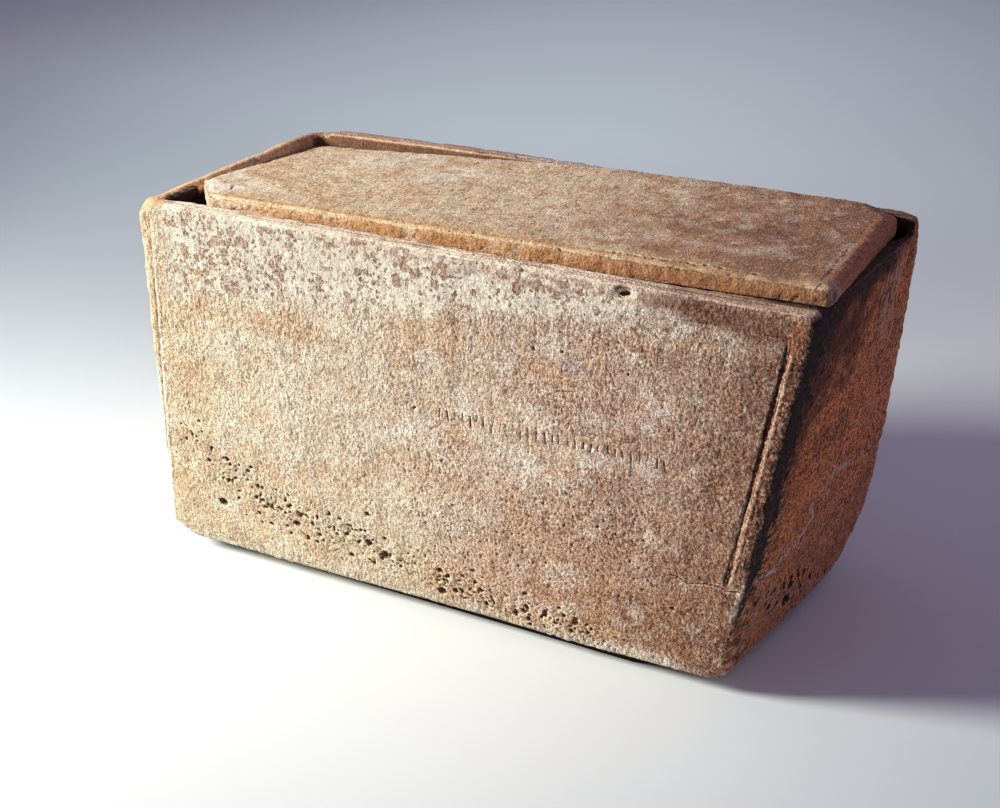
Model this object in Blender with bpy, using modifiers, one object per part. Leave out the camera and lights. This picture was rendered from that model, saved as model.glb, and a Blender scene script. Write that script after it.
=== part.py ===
"""Stone ossuary: a hollow chest hewn from one block, and the loose stone slab that lies on it.

Metres, +Z up. The origin is on the standing surface, under the middle of the foot. The inscribed
long face looks along -Y, and the end that leans outwards is at +X. Four corners are always given in
the order front left, front right, back right, back left.
"""
import math
import random

import bmesh
import bpy
from mathutils import Matrix, Vector

# ---------------------------------------------------------------- chest: outside
FOOT_PLAN = ((-0.2580, -0.1285), (0.2530, -0.1280), (0.2750, 0.1240), (-0.2555, 0.1235))
RIM_PLAN = ((-0.2605, -0.1370), (0.3115, -0.1360), (0.3070, 0.1160), (-0.2610, 0.1135))
RIM_HEIGHTS = (0.3010, 0.3035, 0.3045, 0.3015)
CHEST_CELLS = (12, 6, 7)          # grid cells along the length, the width and the height
HEWN_WAVE = 0.0009                # how far the hand-dressed faces wander from true
LEFT_BELLY = 0.0025               # the ends swell this much at mid height
RIGHT_BELLY = 0.0035
LEFT_RIM_SWELL = 0.0020           # the rims rise between their corners
BACK_RIM_SWELL = 0.0040
BACK_SWELL_SKEW = 0.5             # the back rim is highest left of its middle
ARRIS = 0.009                     # rounding of the most worn arris, at weight 1

# Worn-off lower back corner at the right end: an ellipse in the plane of that end.
WORN_DEEP = 0.078
WORN_HIGH = 0.072
WORN_LONG = 0.170
WORN_FACETS = 3

# Blunted corners: plan corner, whether at the rim, and how far the wear reaches along each edge.
BLUNT_CORNERS = (
    (0, True, (0.021, 0.016, 0.012)),
    (0, False, (0.024, 0.014, 0.012)),
    (1, False, (0.016, 0.012, 0.012)),
    (1, True, (0.010, 0.012, 0.008)),
    (3, True, (0.016, 0.014, 0.008)),
    (3, False, (0.018, 0.016, 0.012)),
)

# ---------------------------------------------------------------- chest: inside
WALL = 0.0225                     # below the ledge that carries the lid
FLOOR = 0.028
CAVITY_ROUNDING = 0.014
RIM_LEFT = 0.0165                 # thickness of each rim, beside the lid
RIM_FRONT = 0.0180
RIM_BACK = 0.0155
LEDGE_HEIGHT = 0.2905             # the ledge's plane, above the origin
LEDGE_RISE_X = 0.0250             # it climbs to the right, where it runs out through the end
LEDGE_RISE_Y = -0.0534            # and falls to the back
ABOVE = 0.060                     # how far cutters reach above the rim
CUTTER_SIZE = 0.100               # of the blocks that take off corners

# ---------------------------------------------------------------- carved lines
LINE_WIDTH = 0.0026
LINE_DEPTH = 0.0016
BORDER_LEFT = 0.0085              # from the left arris
BORDER_TOP = 0.0165               # below the rim
BORDER_BOTTOM = 0.0115            # above the foot
BORDER_RIGHT = (0.0155, 0.0085)   # two lines beside the right arris
BORDER_END = 0.0142               # one line on the right end
RIM_LINE = 0.0105                 # from the outer arris, along the top of the front rim
RIM_LINE_RUN = (0.05, 0.94)       # where it starts and ends, as parts of the rim's length
LEFT_LINE_START = 0.0070          # heights at which the upright lines start
RIGHT_LINES_START = (0.0840, 0.0640)
END_LINE_START = 0.0300
UPRIGHT_LINES_END = 0.2805
RIGHT_LINE_SCALES = (1.5, 0.65)   # the inner one of the two right lines is the bolder one
TOP_LINE_MARGINS = (0.0140, 0.0220)
BOTTOM_LINE_RUN = (0.0140, 0.0900)
SHALLOW = 0.6                     # the top line is this part of the usual depth

MARKS = 30                        # strokes in the inscribed row
MARK_ROW = (0.0180, 0.2040)
MARK_BASE = 0.1660
MARK_HEIGHTS = (0.0050, 0.0105)
MARK_LONG = 0.0200
MARK_LONG_EVERY = 13
MARK_LEAN = math.radians(11.0)
MARK_WIDTH = 0.0014
MARK_DEPTH = 0.0010
SEED = 1407

# ---------------------------------------------------------------- damage to the rim
CHIP_PLACE = (0.1715, -0.1372, 0.2980)
CHIP_SIZE = (0.0085, 0.0060, 0.0045)
POCKET_LOW = (0.2650, 0.0720, 0.2500)
POCKET_HIGH = (0.2985, 0.1040, 0.2950)

# ---------------------------------------------------------------- lid
LID_PLAN = ((-0.2432, -0.1172), (0.3130, -0.1172), (0.2940, 0.0960), (-0.2415, 0.0950))
LID_TOP = (0.3080, 0.3180, 0.3130, 0.2930)
LID_CELLS = (12, 5, 1)
LID_CROWN = 0.0070                # rise of the top between its ends, most at the back
LID_CROWN_SKEW = 1.2              # sets its highest part right of the middle
LID_CHAMFER = 0.0088
LID_GAP = 0.0003
BREAK_START = (-0.2450, -0.0690)  # the missing front left corner, in plan
BREAK_END = (-0.2020, -0.1180)
STEP_END = 0.1490                 # the front side is set back, left of this
STEP_DEPTH = 0.0024
FLAW_START = (-0.2090, -0.0740)
FLAW_END = (-0.1990, -0.0910)
FLAW_WIDTH = 0.0022
FLAW_DEPTH = 0.0030
LID_WORN_REACHES = (0.0300, 0.0340, 0.0095)   # wear of its back right corner, along x, y and z

LIMESTONE = (0.46, 0.33, 0.21, 1.0)
LID_STONE = (0.44, 0.31, 0.20, 1.0)
STONE_ROUGHNESS = 0.92


def clear_scene():
    for item in list(bpy.data.objects):
        bpy.data.objects.remove(item, do_unlink=True)


def collection(name):
    group = bpy.data.collections.new(name)
    bpy.context.scene.collection.children.link(group)
    return group


def stone(name, colour):
    material = bpy.data.materials.new(name)
    material.use_nodes = True
    shader = material.node_tree.nodes["Principled BSDF"]
    shader.inputs["Base Color"].default_value = colour
    shader.inputs["Roughness"].default_value = STONE_ROUGHNESS
    shader.inputs["Metallic"].default_value = 0.0
    material.diffuse_color = colour
    return material


def blend(corners, u, v):
    """Read a value between four corners, u from left to right and v from front to back."""
    front = corners[0] * (1.0 - u) + corners[1] * u
    back = corners[3] * (1.0 - u) + corners[2] * u
    return front * (1.0 - v) + back * v


def plan(corners):
    return tuple(Vector(corner) for corner in corners)


def inset(corners, left, front, right, back):
    """Move the four sides of a plan inwards, each by its own amount."""
    moves = ((left, front), (-right, front), (-right, -back), (left, -back))
    return tuple(corner + Vector(move) for corner, move in zip(corners, moves))


def section(height):
    """The chest's outline at a height, straight between foot and rim."""
    part = height / RIM_HEIGHTS[0]
    return tuple(low.lerp(high, part) for low, high in zip(plan(FOOT_PLAN), plan(RIM_PLAN)))


def ledge_plane(x, y):
    return LEDGE_HEIGHT + LEDGE_RISE_X * x + LEDGE_RISE_Y * y


def hewn(point):
    """A slow wander of a hand-dressed surface, in all three directions."""
    x, y, z = point
    return HEWN_WAVE * Vector((
        math.sin(41.0 * z + 0.6) * math.cos(33.0 * y),
        math.sin(27.0 * x + 1.1) * math.cos(35.0 * z + 0.4),
        math.sin(31.0 * x) * math.cos(29.0 * y + 0.8)))


def chest_point(u, v, w):
    low = blend(plan(FOOT_PLAN), u, v)
    high = blend(plan(RIM_PLAN), u, v)
    flat = low.lerp(high, w)
    point = Vector((flat.x, flat.y, w * blend(RIM_HEIGHTS, u, v)))
    belly = math.sin(math.pi * w)
    point.x += belly * (RIGHT_BELLY * u * v - LEFT_BELLY * (1.0 - u))
    wander = hewn(point)
    wander.z *= 0.4 * w
    point += wander
    point.z += w * LEFT_RIM_SWELL * math.sin(math.pi * v) * (1.0 - u)
    point.z += w * BACK_RIM_SWELL * math.sin(math.pi * u ** BACK_SWELL_SKEW) * v
    return point


def lid_point(u, v, w):
    flat = blend(plan(LID_PLAN), u, v)
    under = ledge_plane(flat.x, flat.y) + LID_GAP
    crown = LID_CROWN * math.sin(math.pi * u ** LID_CROWN_SKEW) * v
    top = blend(LID_TOP, u, v) + crown
    return Vector((flat.x, flat.y, under + (top - under) * w))


def grid_block(cells, place, weigh=None):
    """A cube cut into a grid, with every grid point put where place(u, v, w) says."""
    shape = bmesh.new()
    bmesh.ops.create_cube(shape, size=1.0)
    for axis in range(3):
        along = [edge for edge in shape.edges
                 if abs(edge.verts[0].co[axis] - edge.verts[1].co[axis]) > 0.5]
        if cells[axis] > 1:
            bmesh.ops.subdivide_edges(shape, edges=along, cuts=cells[axis] - 1, use_grid_fill=True)
    if weigh:
        layer = shape.edges.layers.float.new("bevel_weight_edge")
        for edge in shape.edges:
            edge[layer] = weigh(shared_sides(edge))
    for vert in shape.verts:
        vert.co = place(*(vert.co + Vector((0.5, 0.5, 0.5))))
    return shape


def shared_sides(edge):
    """Which sides of the unit cube both ends of an edge lie on, such as {'left', 'top'}."""
    names = (("left", "right"), ("front", "back"), ("bottom", "top"))
    sides = set()
    for axis, pair in enumerate(names):
        ends = [vert.co[axis] for vert in edge.verts]
        if max(ends) < -0.499:
            sides.add(pair[0])
        if min(ends) > 0.499:
            sides.add(pair[1])
    return sides


def add_object(name, shape, group, material=None):
    shape.normal_update()
    bmesh.ops.recalc_face_normals(shape, faces=shape.faces)
    mesh = bpy.data.meshes.new(name)
    shape.to_mesh(mesh)
    shape.free()
    item = bpy.data.objects.new(name, mesh)
    group.objects.link(item)
    if material:
        mesh.materials.append(material)
    return item


def add_cutter(name, shape, group):
    cutter = add_object(name, shape, group)
    cutter.hide_render = True
    cutter.display_type = "WIRE"
    return cutter


def cut(item, cutter):
    modifier = item.modifiers.new("cut " + cutter.name, "BOOLEAN")
    modifier.operation = "DIFFERENCE"
    modifier.solver = "EXACT"
    modifier.object = cutter


def round_arrises(item, width, segments):
    modifier = item.modifiers.new("worn arrises", "BEVEL")
    modifier.width = width
    modifier.segments = segments
    modifier.limit_method = "WEIGHT"


def box_between(low, high):
    return grid_block((1, 1, 1), lambda u, v, w: Vector((
        low[0] + (high[0] - low[0]) * u,
        low[1] + (high[1] - low[1]) * v,
        low[2] + (high[2] - low[2]) * w)))


def carved_line(shape, start, end, outward, width, depth):
    """Add to shape a bar with a diamond section, whose lower half cuts one V-shaped line."""
    start = Vector(start)
    end = Vector(end)
    along = (end - start).normalized()
    side = outward.cross(along).normalized()
    out = along.cross(side)
    turn = Matrix((along, side, out)).transposed().to_4x4()
    size = Matrix.Diagonal(((end - start).length, width / math.sqrt(2.0), depth * math.sqrt(2.0), 1.0))
    place = Matrix.Translation((start + end) / 2.0) @ turn @ size @ Matrix.Rotation(math.pi / 4.0, 4, "X")
    bmesh.ops.create_cube(shape, size=1.0, matrix=place)


def face_point(side, along, height):
    """A point on the front face (along = x) or on the right end (along = y) at a height."""
    front_left, front_right, back_right, _ = section(height)
    if side == "front":
        part = (along - front_left.x) / (front_right.x - front_left.x)
        flat = front_left.lerp(front_right, part)
    else:
        part = (along - front_right.y) / (back_right.y - front_right.y)
        flat = front_right.lerp(back_right, part)
    return Vector((flat.x, flat.y, height))


def outward_of(side):
    across = face_point(side, 0.10, 0.10) - face_point(side, 0.0, 0.10)
    upward = face_point(side, 0.0, 0.20) - face_point(side, 0.0, 0.10)
    return across.cross(upward).normalized()


def front_line(shape, start, end, width=LINE_WIDTH, depth=LINE_DEPTH):
    """A carved line on the front face between two (x, height) places."""
    carved_line(shape, face_point("front", *start), face_point("front", *end),
                outward_of("front"), width, depth)


# ---------------------------------------------------------------- cutters of the chest
def cavity_shape():
    low = inset(section(FLOOR), WALL, WALL, WALL, WALL)
    top_height = RIM_HEIGHTS[0] + ABOVE
    high = inset(section(top_height), WALL, WALL, WALL, WALL)

    def place(u, v, w):
        flat = blend(low, u, v).lerp(blend(high, u, v), w)
        return Vector((flat.x, flat.y, FLOOR + (top_height - FLOOR) * w))

    shape = grid_block((1, 1, 1), place)
    upright = [edge for edge in shape.edges
               if abs(edge.verts[0].co.z - edge.verts[1].co.z) > FLOOR]
    bmesh.ops.bevel(shape, geom=upright, offset=CAVITY_ROUNDING, segments=3, profile=0.5,
                    affect="EDGES", material=-1)
    return shape


def rebate_shape():
    """The seat of the lid: a tilted floor inside three rims, open at the right end."""
    rim = inset(plan(RIM_PLAN), RIM_LEFT, RIM_FRONT, -ABOVE, RIM_BACK)

    def place(u, v, w):
        flat = blend(rim, u, v)
        low = ledge_plane(flat.x, flat.y)
        return Vector((flat.x, flat.y, low + (RIM_HEIGHTS[0] + ABOVE - low) * w))

    return grid_block((1, 1, 1), place)


def worn_corner_shape(facet):
    """A block beyond one of the facets that round off the lower back corner at the right end."""
    corner = Vector((FOOT_PLAN[2][0], FOOT_PLAN[2][1], 0.0))
    turn = math.pi / 2.0 * (facet + 1) / (WORN_FACETS + 1)
    inner = corner + Vector((0.0, -WORN_DEEP * (1.0 - math.tan(turn / 2.0)), 0.0))
    higher = 1.0 - math.tan(math.pi / 4.0 - turn / 2.0)
    upper = corner + Vector((0.0, 0.0, WORN_HIGH * higher))
    fade = corner + Vector((-WORN_LONG, 0.0, 0.0))
    across = (upper - inner).normalized()
    outward = (inner - fade).cross(across).normalized()
    if outward.dot(corner - inner) < 0.0:
        outward.negate()
    turned = Matrix((across.cross(outward), across, outward)).transposed().to_4x4()
    reach = 4.0 * WORN_LONG
    middle = (inner + upper) / 2.0 + outward * reach / 2.0
    shape = bmesh.new()
    bmesh.ops.create_cube(shape, size=reach, matrix=Matrix.Translation(middle) @ turned)
    return shape


def block_beyond(corner, outward_signs, reaches):
    """A block beyond the plane that meets a corner's three edges at the given reaches."""
    slope = Vector(sign / reach for sign, reach in zip(outward_signs, reaches))
    depth = 1.0 / slope.length
    outward = slope.normalized()
    turned = outward.to_track_quat("Z", "X").to_matrix().to_4x4()
    middle = corner + outward * (CUTTER_SIZE / 2.0 - depth)
    shape = bmesh.new()
    bmesh.ops.create_cube(shape, size=CUTTER_SIZE, matrix=Matrix.Translation(middle) @ turned)
    return shape


def blunt_corner_shape(number, at_rim, reaches):
    """Takes the tip off one outer corner of the chest."""
    u = 1.0 if number in (1, 2) else 0.0
    v = 1.0 if number in (2, 3) else 0.0
    w = 1.0 if at_rim else 0.0
    signs = (2.0 * u - 1.0, 2.0 * v - 1.0, 2.0 * w - 1.0)
    return block_beyond(chest_point(u, v, w), signs, reaches)


def upright_lines():
    """The border's upright lines: one at the left, two at the right, one on the right end."""
    shape = bmesh.new()
    high = UPRIGHT_LINES_END
    left = [section(height)[0].x + BORDER_LEFT for height in (LEFT_LINE_START, high)]
    front_line(shape, (left[0], LEFT_LINE_START), (left[1], high))
    for margin, start, scale in zip(BORDER_RIGHT, RIGHT_LINES_START, RIGHT_LINE_SCALES):
        right = [section(height)[1].x - margin for height in (start, high)]
        front_line(shape, (right[0], start), (right[1], high), LINE_WIDTH * scale, LINE_DEPTH * scale)
    ends = [face_point("end", section(height)[1].y + BORDER_END, height)
            for height in (END_LINE_START, high)]
    carved_line(shape, ends[0], ends[1], outward_of("end"), LINE_WIDTH, LINE_DEPTH)
    return shape


def level_lines():
    """The border's level lines, and the line along the top of the front rim."""
    shape = bmesh.new()
    high = RIM_HEIGHTS[0] - BORDER_TOP
    front_line(shape, (section(high)[0].x + TOP_LINE_MARGINS[0], high),
               (section(high)[1].x - TOP_LINE_MARGINS[1], high), LINE_WIDTH, SHALLOW * LINE_DEPTH)
    left = section(BORDER_BOTTOM)[0].x
    front_line(shape, (left + BOTTOM_LINE_RUN[0], BORDER_BOTTOM),
               (left + BOTTOM_LINE_RUN[1], BORDER_BOTTOM))
    start, end = (chest_point(u, 0.0, 1.0) + Vector((0.0, RIM_LINE, 0.0)) for u in RIM_LINE_RUN)
    carved_line(shape, start, end, Vector((0.0, 0.0, 1.0)), LINE_WIDTH, LINE_DEPTH)
    return shape


def inscribed_marks():
    """A row of plain slanting strokes that spell nothing."""
    shape = bmesh.new()
    chance = random.Random(SEED)
    step = (MARK_ROW[1] - MARK_ROW[0]) / (MARKS - 1)
    for number in range(MARKS):
        x = MARK_ROW[0] + step * (number + chance.uniform(-0.14, 0.14))
        height = chance.uniform(*MARK_HEIGHTS)
        lean = chance.uniform(-MARK_LEAN, MARK_LEAN)
        top = MARK_BASE + chance.uniform(0.0085, 0.0115)
        if number % MARK_LONG_EVERY == MARK_LONG_EVERY - 1:
            height = MARK_LONG
            lean = 0.0
        foot = (x - 0.5 * height * math.sin(lean), top - height * math.cos(lean))
        head = (x + 0.5 * height * math.sin(lean), top)
        front_line(shape, foot, head, MARK_WIDTH, MARK_DEPTH)
    return shape


def chip_shape():
    shape = bmesh.new()
    size = Matrix.Diagonal((*CHIP_SIZE, 1.0))
    bmesh.ops.create_icosphere(shape, subdivisions=2, radius=1.0,
                               matrix=Matrix.Translation(CHIP_PLACE) @ size)
    return shape


# ---------------------------------------------------------------- the two pieces
def chest_arris(sides):
    """How worn each outer arris is, from 0 to 1."""
    if len(sides) < 2:
        return 0.0
    if "bottom" in sides:
        return 0.40
    if "top" in sides:
        return 0.22
    return 0.35 if "right" in sides else 0.50


def make_chest(group, cutters):
    shape = grid_block(CHEST_CELLS, chest_point, chest_arris)
    chest = add_object("chest", shape, group, stone("weathered limestone", LIMESTONE))
    round_arrises(chest, ARRIS, 3)
    for facet in range(WORN_FACETS):
        cut(chest, add_cutter("worn corner %d" % (facet + 1), worn_corner_shape(facet), cutters))
    for place, blunt in enumerate(BLUNT_CORNERS):
        cut(chest, add_cutter("blunt corner %d" % (place + 1), blunt_corner_shape(*blunt), cutters))
    cut(chest, add_cutter("seat of the lid", rebate_shape(), cutters))
    cut(chest, add_cutter("cavity", cavity_shape(), cutters))
    cut(chest, add_cutter("broken pocket", box_between(POCKET_LOW, POCKET_HIGH), cutters))
    cut(chest, add_cutter("chip in the rim", chip_shape(), cutters))
    cut(chest, add_cutter("upright lines", upright_lines(), cutters))
    cut(chest, add_cutter("level lines", level_lines(), cutters))
    cut(chest, add_cutter("inscribed marks", inscribed_marks(), cutters))
    return chest


def lid_arris(sides):
    if len(sides) < 2:
        return 0.0
    if "bottom" in sides:
        return 0.15
    if "top" in sides:
        return 1.0 if "front" in sides else 0.65 if "right" in sides else 0.35
    return 0.9


def broken_corner_shape():
    """A prism that takes the missing corner off the lid along a straight break."""
    start = Vector(BREAK_START)
    end = Vector(BREAK_END)
    along = (end - start).normalized()
    away = Vector((along.y, -along.x))
    if away.dot(Vector(LID_PLAN[0]) - start) < 0.0:
        away.negate()
    reach = 0.060
    corners = (start - along * reach, end + along * reach,
               end + along * reach + away * reach, start - along * reach + away * reach)

    def place(u, v, w):
        flat = blend(corners, u, v)
        return Vector((flat.x, flat.y, 0.200 + 0.200 * w))

    return grid_block((1, 1, 1), place)


def step_shape():
    """Sets the lid's front side back, left of the upright fissure."""
    front = min(LID_PLAN[0][1], LID_PLAN[1][1])
    return box_between((LID_PLAN[0][0] - 0.050, front - 0.050, 0.200),
                       (STEP_END, front + STEP_DEPTH, 0.400))


def lid_worn_corner_shape():
    return block_beyond(lid_point(1.0, 1.0, 1.0), (1.0, 1.0, 1.0), LID_WORN_REACHES)


def flaw_shape():
    shape = bmesh.new()
    ends = []
    for x, y in (FLAW_START, FLAW_END):
        u = (x - LID_PLAN[0][0]) / (LID_PLAN[1][0] - LID_PLAN[0][0])
        v = (y - LID_PLAN[0][1]) / (LID_PLAN[3][1] - LID_PLAN[0][1])
        ends.append(lid_point(u, v, 1.0))
    carved_line(shape, ends[0], ends[1], Vector((0.0, 0.0, 1.0)), FLAW_WIDTH, FLAW_DEPTH)
    return shape


def make_lid(group, cutters):
    shape = grid_block(LID_CELLS, lid_point, lid_arris)
    lid = add_object("lid", shape, group, stone("weathered lid limestone", LID_STONE))
    round_arrises(lid, LID_CHAMFER, 2)
    cut(lid, add_cutter("missing corner", broken_corner_shape(), cutters))
    cut(lid, add_cutter("set-back front side", step_shape(), cutters))
    cut(lid, add_cutter("worn back corner", lid_worn_corner_shape(), cutters))
    cut(lid, add_cutter("flaw near the break", flaw_shape(), cutters))
    return lid


def main():
    clear_scene()
    group = collection("stone_ossuary")
    cutters = collection("cutters")
    make_chest(group, cutters)
    make_lid(group, cutters)


main()
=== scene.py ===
# %% [markdown]
# # A stone ossuary
# The real object is a bone chest half a metre long, hewn from one block of soft limestone, with a loose
# slab for a lid. The CAD model has its plain forms, so this lesson is about surface: how two clean solids
# become old stone.

import math
import random

import bmesh
import bpy
import numpy as np
from mathutils import Matrix, Vector


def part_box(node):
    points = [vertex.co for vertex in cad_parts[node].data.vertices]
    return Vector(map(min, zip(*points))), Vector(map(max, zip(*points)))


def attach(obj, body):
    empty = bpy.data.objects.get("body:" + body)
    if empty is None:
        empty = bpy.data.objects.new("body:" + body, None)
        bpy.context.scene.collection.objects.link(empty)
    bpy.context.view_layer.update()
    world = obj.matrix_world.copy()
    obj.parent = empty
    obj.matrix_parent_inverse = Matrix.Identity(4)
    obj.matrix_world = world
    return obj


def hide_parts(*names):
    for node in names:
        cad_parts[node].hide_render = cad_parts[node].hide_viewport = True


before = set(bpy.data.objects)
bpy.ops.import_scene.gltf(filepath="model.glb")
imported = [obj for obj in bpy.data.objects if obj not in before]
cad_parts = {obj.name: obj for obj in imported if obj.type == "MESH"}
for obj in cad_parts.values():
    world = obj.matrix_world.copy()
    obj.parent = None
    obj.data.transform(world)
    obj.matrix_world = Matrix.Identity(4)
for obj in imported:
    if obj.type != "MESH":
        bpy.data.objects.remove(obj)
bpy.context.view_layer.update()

# %% [markdown]
# ## Camera
# A long lens from a little above shows the marked front, the lid and a sliver of the leaning end. The roll
# is the tripod's small lean.

# %% Camera
LENS_MM = 62.16
CAMERA_PLACE = (0.6421, -1.1565, 0.7115)
CAMERA_TURN = math.radians(29.18)
CAMERA_TILT = math.radians(23.93)
CAMERA_ROLL = math.radians(-0.38)

scene = bpy.context.scene
camera = bpy.data.objects.new("camera", bpy.data.cameras.new("camera"))
scene.collection.objects.link(camera)
camera.data.lens = LENS_MM
camera.data.clip_end = 60.0
camera.matrix_world = (Matrix.Translation(CAMERA_PLACE)
                       @ Matrix.Rotation(CAMERA_TURN, 4, "Z")
                       @ Matrix.Rotation(math.pi / 2.0 - CAMERA_TILT, 4, "X")
                       @ Matrix.Rotation(CAMERA_ROLL, 4, "Z"))
scene.camera = camera

# %% [markdown]
# ## Working on every corner of a mesh at once
# A Displace modifier could roughen the stone, but pits and carved lines each need their own place. With all
# corners in one array, plain sums move half a million of them in a moment.


# %% Array helpers
def rows_of(items, name):
    values = np.empty(len(items) * 3)
    items.foreach_get(name, values)
    return values.reshape(-1, 3)


def corners_of(piece):
    return rows_of(piece.data.vertices, "co")


def normals_of(piece):
    return rows_of(piece.data.vertex_normals, "vector")


def move_corners(piece, points):
    piece.data.vertices.foreach_set("co", points.ravel())
    piece.data.update()


def store(piece, name, values):
    """Keep a number at every corner, for a material to read."""
    layer = piece.data.attributes.get(name) or piece.data.attributes.new(name, "FLOAT", "POINT")
    layer.data.foreach_set("value", np.asarray(values, np.float32))


def step(values, low, high):
    part = np.clip((values - low) / (high - low), 0.0, 1.0)
    return part * part * (3.0 - 2.0 * part)


def window(values, low, high, soft):
    return step(values, low - soft, low + soft) * (1.0 - step(values, high - soft, high + soft))


def lumps(points, size, seed):
    """Gradient noise, about -1 to 1, with lumps of a size in metres, one or three numbers."""
    scaled = points / np.asarray(size) + seed * 7.31
    cell = np.floor(scaled).astype(np.int64)
    part = scaled - cell
    ease = part ** 3 * (part * (part * 6.0 - 15.0) + 10.0)
    total = np.zeros(len(points))
    for corner in np.ndindex(2, 2, 2):
        spot = cell + corner
        mixed = spot[:, 0] * 73856093 ^ spot[:, 1] * 19349663 ^ (spot[:, 2] + seed * 101) * 83492791
        mixed = (mixed ^ (mixed >> 13)) * 1274126177 & 0x7FFFFFFF
        mixed ^= mixed >> 15
        lean = np.stack([(mixed >> shift & 1023) / 511.5 - 1.0 for shift in (0, 10, 20)], axis=1)
        away = part - corner
        share = np.prod(np.where(corner, ease, 1.0 - ease), axis=1)
        total += share * (away * lean).sum(axis=1)
    return total * 1.4


def waves(points, *layers):
    """Lumps on lumps: each layer is a height, a size and a seed."""
    return sum(height * lumps(points, size, seed) for height, size, seed in layers)


def smoothed(piece, rounds):
    """Each corner's place after moving so many times to the middle of its neighbours."""
    count = len(piece.data.vertices)
    ends = np.empty(len(piece.data.edges) * 2, np.int32)
    piece.data.edges.foreach_get("vertices", ends)
    first, second = ends.reshape(-1, 2).T
    number = np.maximum(np.bincount(first, minlength=count) + np.bincount(second, minlength=count), 1)
    points = corners_of(piece)
    for _ in range(rounds):
        sums = [np.bincount(first, column[second], count) + np.bincount(second, column[first], count)
                for column in points.T]
        points = np.stack(sums, axis=1) / number[:, None]
    return points


def bulge(piece, rounds):
    """How far each corner stands out, in metres: plus on an arris, minus in a groove."""
    return ((corners_of(piece) - smoothed(piece, rounds)) * normals_of(piece)).sum(axis=1)


print("array helpers ready")

# %% [markdown]
# ## An even skin
# The CAD solid's long thin triangles can't take relief. A voxel remesh rebuilds the form as one closed skin
# of small even squares, cut in four where the carving is finer.

# %% Copy a node as an even skin
MERGE = 0.00001


def new_piece(name, shape):
    """An object that holds a finished bmesh."""
    mesh = bpy.data.meshes.new(name)
    shape.to_mesh(mesh)
    shape.free()
    piece = bpy.data.objects.new(name, mesh)
    scene.collection.objects.link(piece)
    return piece


def modify(piece, kind, **settings):
    """Apply one modifier and make its result the piece's own mesh."""
    modifier = piece.modifiers.new(kind.lower(), kind)
    for name, value in settings.items():
        setattr(modifier, name, value)
    graph = bpy.context.evaluated_depsgraph_get()
    mesh = bpy.data.meshes.new_from_object(piece.evaluated_get(graph), depsgraph=graph)
    piece.modifiers.clear()
    piece.data = mesh


def even_skin(name, node, voxel):
    """A copy of a CAD node, remeshed to squares of one size."""
    copy = bmesh.new()
    copy.from_mesh(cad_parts[node].data)
    bmesh.ops.remove_doubles(copy, verts=copy.verts, dist=MERGE)
    piece = new_piece(name, copy)
    modify(piece, "REMESH", mode="VOXEL", voxel_size=voxel)
    return piece


def refine(piece, inside):
    """Cut the squares in four where the flags are true."""
    shape = bmesh.new()
    shape.from_mesh(piece.data)
    edges = [edge for edge in shape.edges if inside[edge.verts[0].index] and inside[edge.verts[1].index]]
    bmesh.ops.subdivide_edges(shape, edges=edges, cuts=1, use_grid_fill=True)
    shape.to_mesh(piece.data)
    shape.free()


def wrap_on(piece, node):
    """Lay every corner back on the CAD node's surface."""
    modify(piece, "SHRINKWRAP", wrap_method="NEAREST_SURFACEPOINT", target=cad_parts[node])


print("remesh helpers ready")

# %% [markdown]
# ## Shader maths as arithmetic
# A material is a graph, but most of it is sums. This class wraps one socket, so that `1 - mask * 0.5` adds
# its Math nodes by itself. All else goes through one method, `node`.


# %% A socket that can be added and multiplied
def binary(operation):
    """A method that adds one Math node."""
    return lambda self, other: self.maths(operation, self, other)


class Wire:
    """One output of a shader node."""

    def __init__(self, tree, socket=None):
        self.tree = tree
        self.socket = socket

    def node(self, kind, settings=None, inputs=None, output=0):
        """Add a node: its own settings first, then a value or a wire for each named input."""
        made = self.tree.nodes.new(kind)
        for name, value in (settings or {}).items():
            if name == "stops":
                ramp = made.color_ramp
                while len(ramp.elements) < len(value):
                    ramp.elements.new(0.5)
                for element, (position, colour) in zip(ramp.elements, value):
                    element.position = position
                    element.color = (*colour, 1.0)
            else:
                setattr(made, name, value)
        for name, value in (inputs or {}).items():
            feed(made.inputs[name], value)
        return Wire(self.tree, made.outputs[output])

    def maths(self, operation, *values):
        return self.node("ShaderNodeMath", {"operation": operation}, dict(enumerate(values)))

    __add__ = __radd__ = binary("ADD")
    __sub__ = binary("SUBTRACT")
    __mul__ = __rmul__ = binary("MULTIPLY")
    __truediv__ = binary("DIVIDE")
    most = binary("MAXIMUM")
    least = binary("MINIMUM")

    def __rsub__(self, other):
        return self.maths("SUBTRACT", other, self)

    def size(self):
        return self.maths("ABSOLUTE", self)

    def rise(self, low, high):
        """0 below low, 1 above high and a soft step between."""
        return self.node("ShaderNodeMapRange", {"interpolation_type": "SMOOTHSTEP"},
                         {"Value": self, "From Min": low, "From Max": high})

    def fall(self, low, high):
        return 1.0 - self.rise(low, high)

    def within(self, low, high, soft):
        return self.rise(low - soft, low + soft) * self.fall(high - soft, high + soft)


def feed(socket, value):
    """Give a socket a wire, a number or a colour."""
    if isinstance(value, Wire):
        value.tree.links.new(value.socket, socket)
    else:
        socket.default_value = (*value, 1.0) if socket.type == "RGBA" else value


def mix(below, above, amount, way="MIX"):
    """Lay one colour over another, or darken it by MULTIPLY and lighten it by SCREEN."""
    return amount.node("ShaderNodeMix", {"data_type": "RGBA", "blend_type": way, "clamp_factor": True},
                       {0: amount, 6: below, 7: above}, output=2)


def coats(below, layers, way="MIX"):
    """Lay colours over one another in turn, each with its own mask."""
    for above, amount in layers:
        below = mix(below, above, amount, way)
    return below


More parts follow.
